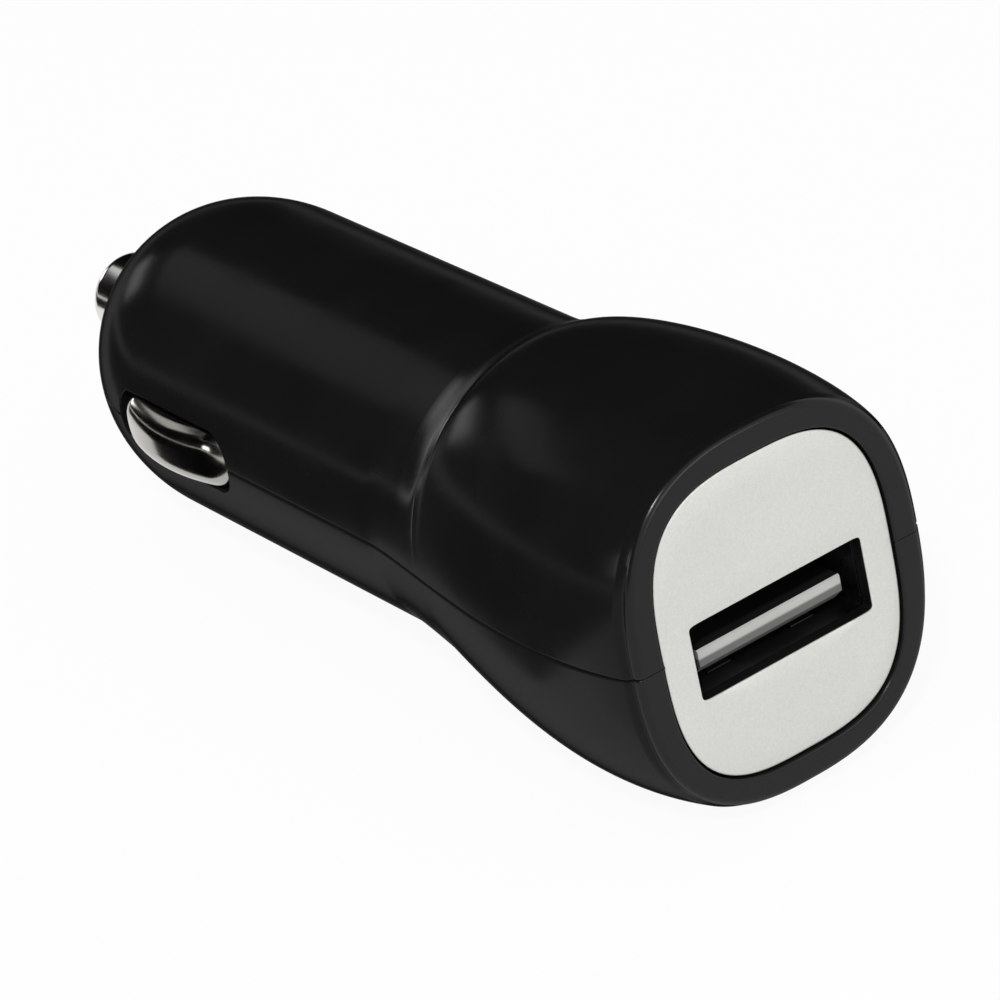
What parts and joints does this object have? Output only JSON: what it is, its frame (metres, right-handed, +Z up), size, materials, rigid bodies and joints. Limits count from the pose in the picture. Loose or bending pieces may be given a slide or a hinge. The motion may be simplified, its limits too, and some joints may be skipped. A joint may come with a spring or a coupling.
{
  "type": "car usb charger plug",
  "caption": "Short car charger plug: black barrel with sprung contacts for a 12 V socket, and a squarish rounded head with a silver face and a USB port.",
  "frame": {"origin": "on the barrel's axis at the shoulder where the head begins", "axes": "+Y along the barrel towards the nose contact, -Y out of the USB face, +Z up through the upper shell, +X to the right seen from behind the USB face"},
  "size_m": [0.0242, 0.0719, 0.0253],
  "materials": {
    "shell_gloss_black": "glossy black moulded plastic",
    "panel_satin_silver": "satin warm silver",
    "port_steel": "nickel-plated sheet",
    "tongue_plastic": "light grey plastic",
    "pin_gold": "gold-plated strip",
    "contact_nickel": "bright nickel plating",
    "spring_steel": "drawn spring wire",
    "seat_brass": "plain stamped brass",
    "board_green": "green board lacquer",
    "ferrite": "dark pressed ferrite",
    "winding_copper": "enamelled copper wire",
    "capacitor_sleeve_blue": "dark blue shrink sleeve",
    "capacitor_sleeve_grey": "dark grey shrink sleeve",
    "chip_black": "matt black moulding",
    "resistor_black": "black glazed film",
    "ceramic_tan": "tan ceramic"
  },
  "bodies": {
    "housing": {"upper_shell": "shell_gloss_black", "lower_shell": "shell_gloss_black", "face_panel": "panel_satin_silver", "usb_can": "port_steel", "usb_tongue": "tongue_plastic", "usb_pin_1": "pin_gold", "usb_pin_2": "pin_gold", "usb_pin_3": "pin_gold", "usb_pin_4": "pin_gold", "tip_spring": "spring_steel", "spring_seat": "seat_brass", "circuit_board": "board_green", "coil_core": "ferrite", "coil_winding": "winding_copper", "input_capacitor": "capacitor_sleeve_blue", "output_capacitor": "capacitor_sleeve_grey", "converter_chip": "chip_black", "rectifier_diode": "chip_black", "resistors": "resistor_black", "ceramic_capacitors": "ceramic_tan"},
    "nose_contact": {"tip_contact": "contact_nickel"},
    "left_contact": {"side_contact_left": "contact_nickel"},
    "right_contact": {"side_contact_right": "contact_nickel"}
  },
  "joints": [
    {"name": "nose_contact_slide", "type": "slide", "parent": "housing", "child": "nose_contact", "axis": [0, -1, 0], "range_m": [0, 0.0025], "stiffness_N_per_m": 1500, "springref_m": -0.001, "deforming": ["tip_spring"]},
    {"name": "left_contact_hinge", "type": "hinge", "parent": "housing", "child": "left_contact", "pos_m": [-0.00835, 0.0222, 0], "axis": [0, 0, -1], "range_deg": [0, 10], "stiffness_Nm_per_rad": 0.23, "springref_deg": -2.29},
    {"name": "right_contact_hinge", "type": "hinge", "parent": "housing", "child": "right_contact", "pos_m": [0.00835, 0.0222, 0], "axis": [0, 0, 1], "range_deg": [0, 10], "stiffness_Nm_per_rad": 0.23, "springref_deg": -2.29}
  ]
}
